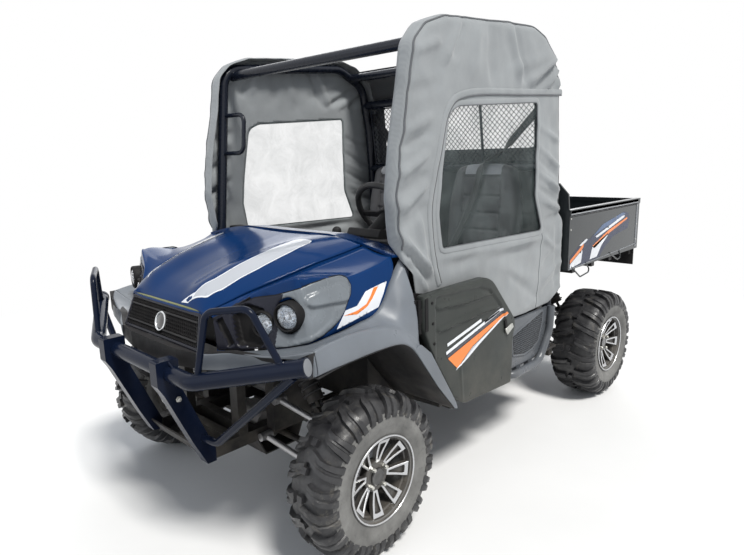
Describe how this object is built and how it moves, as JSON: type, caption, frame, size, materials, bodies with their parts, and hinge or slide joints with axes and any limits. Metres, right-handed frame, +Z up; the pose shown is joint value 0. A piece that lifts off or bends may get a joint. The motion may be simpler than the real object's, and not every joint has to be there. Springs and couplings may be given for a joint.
{
  "type": "side-by-side utility vehicle",
  "caption": "Open-roofed side-by-side utility vehicle with a roll cage, soft fabric cab sides, half-doors, a front bull bar, knobbly tyres and a tipping cargo bed.",
  "frame": {"origin": "on the ground, midway between the axles and the two sides", "axes": "-Y is the front of the vehicle, +X its left side, where the driver sits, and +Z is up"},
  "size_m": [1.612, 3.17, 2.053],
  "materials": {
    "tyre_rubber": "worn, dusty",
    "wheel_alloy": "satin black with machined edges",
    "suspension_steel": "satin",
    "cast_metal": "as cast",
    "frame_black": "satin powder coat",
    "cage_black": "gloss powder coat",
    "body_blue": "glossy",
    "body_gray": "satin, moulded in",
    "trim_black": "moulded, lightly grained",
    "bed_black": "glossy",
    "soft_fabric": "woven, creased",
    "clear_vinyl": "clear, rippled",
    "lamp_glass": "clear",
    "seat_cover": "grained vinyl"
  },
  "bodies": {
    "chassis": {"front_arms": "suspension_steel", "rear_arms": "suspension_steel", "shocks": "suspension_steel", "drive_shafts": "frame_black", "gearcase": "cast_metal", "steering_rack": "cast_metal", "frame": "frame_black", "hitch": "frame_black", "skid_plate": "trim_black", "engine": "cast_metal", "cage": "cage_black", "cowl": "body_blue", "floor_tub": "trim_black", "dashboard": "trim_black", "seat_cushions": "seat_cover", "seat_backs": "seat_cover", "soft_sides": "soft_fabric", "side_windows": "clear_vinyl", "rear_curtain": "soft_fabric", "rear_window": "clear_vinyl", "rear_screen": "cage_black", "side_panels": "body_blue", "lamp_pods": "trim_black", "headlamps": "lamp_glass", "fenders": "body_gray", "nose": "trim_black", "grille": "trim_black", "bull_bar": "frame_black", "rockers": "trim_black"},
    "steering": {"steering_wheel": "trim_black"},
    "rack": {"tie_rods": "suspension_steel"},
    "hood": {"hood": "body_blue"},
    "bed": {"bed": "bed_black", "bed_subframe": "frame_black", "tail_panel": "trim_black"},
    "tailgate": {"tailgate": "bed_black"},
    "door_left": {"door_left": "body_gray"},
    "door_right": {"door_right": "body_gray"},
    "knuckle_left": {"knuckle_left": "suspension_steel"},
    "knuckle_right": {"knuckle_right": "suspension_steel"},
    "wheel_fl": {"tyre_fl": "tyre_rubber", "rim_fl": "wheel_alloy"},
    "wheel_fr": {"tyre_fr": "tyre_rubber", "rim_fr": "wheel_alloy"},
    "wheel_rl": {"tyre_rl": "tyre_rubber", "rim_rl": "wheel_alloy"},
    "wheel_rr": {"tyre_rr": "tyre_rubber", "rim_rr": "wheel_alloy"}
  },
  "joints": [
    {"name": "steer_left", "type": "hinge", "parent": "chassis", "child": "knuckle_left", "pos_m": [0.575, -1.03, 0.32], "axis": [0, 0, 1], "range_deg": [-28, 28]},
    {"name": "steer_right", "type": "hinge", "parent": "chassis", "child": "knuckle_right", "pos_m": [-0.575, -1.03, 0.32], "axis": [0, 0, 1], "range_deg": [-28, 28]},
    {"name": "rack_slide", "type": "slide", "parent": "chassis", "child": "rack", "axis": [1, 0, 0], "range_m": [-0.06, 0.06]},
    {"name": "steering_turn", "type": "hinge", "parent": "chassis", "child": "steering", "pos_m": [0.33, -0.47, 1.215], "axis": [0, 0.8192, 0.5736], "range_deg": [-450, 450]},
    {"name": "wheel_fl_spin", "type": "hinge", "parent": "knuckle_left", "child": "wheel_fl", "pos_m": [0.691, -1.03, 0.32], "axis": [1, 0, 0], "continuous": true},
    {"name": "wheel_fr_spin", "type": "hinge", "parent": "knuckle_right", "child": "wheel_fr", "pos_m": [-0.691, -1.03, 0.32], "axis": [1, 0, 0], "continuous": true},
    {"name": "wheel_rl_spin", "type": "hinge", "parent": "chassis", "child": "wheel_rl", "pos_m": [0.665, 1.03, 0.32], "axis": [1, 0, 0], "continuous": true},
    {"name": "wheel_rr_spin", "type": "hinge", "parent": "chassis", "child": "wheel_rr", "pos_m": [-0.665, 1.03, 0.32], "axis": [1, 0, 0], "continuous": true},
    {"name": "door_left_swing", "type": "hinge", "parent": "chassis", "child": "door_left", "pos_m": [0.722, -0.74, 0.85], "axis": [0, 0, -1], "range_deg": [0, 70]},
    {"name": "door_right_swing", "type": "hinge", "parent": "chassis", "child": "door_right", "pos_m": [-0.722, -0.74, 0.85], "axis": [0, 0, 1], "range_deg": [0, 70]},
    {"name": "hood_lift", "type": "hinge", "parent": "chassis", "child": "hood", "pos_m": [0, -0.803, 1.151], "axis": [-1, 0, 0], "range_deg": [0, 50]},
    {"name": "bed_tip", "type": "hinge", "parent": "chassis", "child": "bed", "pos_m": [0, 1.38, 0.78], "axis": [-1, 0, 0], "range_deg": [0, 45]},
    {"name": "tailgate_drop", "type": "hinge", "parent": "bed", "child": "tailgate", "pos_m": [0, 1.577, 0.86], "axis": [-1, 0, 0], "range_deg": [0, 90]}
  ],
  "couplings": [
    {"joint": "steer_right", "follows": "steer_left", "ratio": 1},
    {"joint": "rack_slide", "follows": "steer_left", "m_per_rad": -0.12},
    {"joint": "steering_turn", "follows": "steer_left", "ratio": 16}
  ]
}
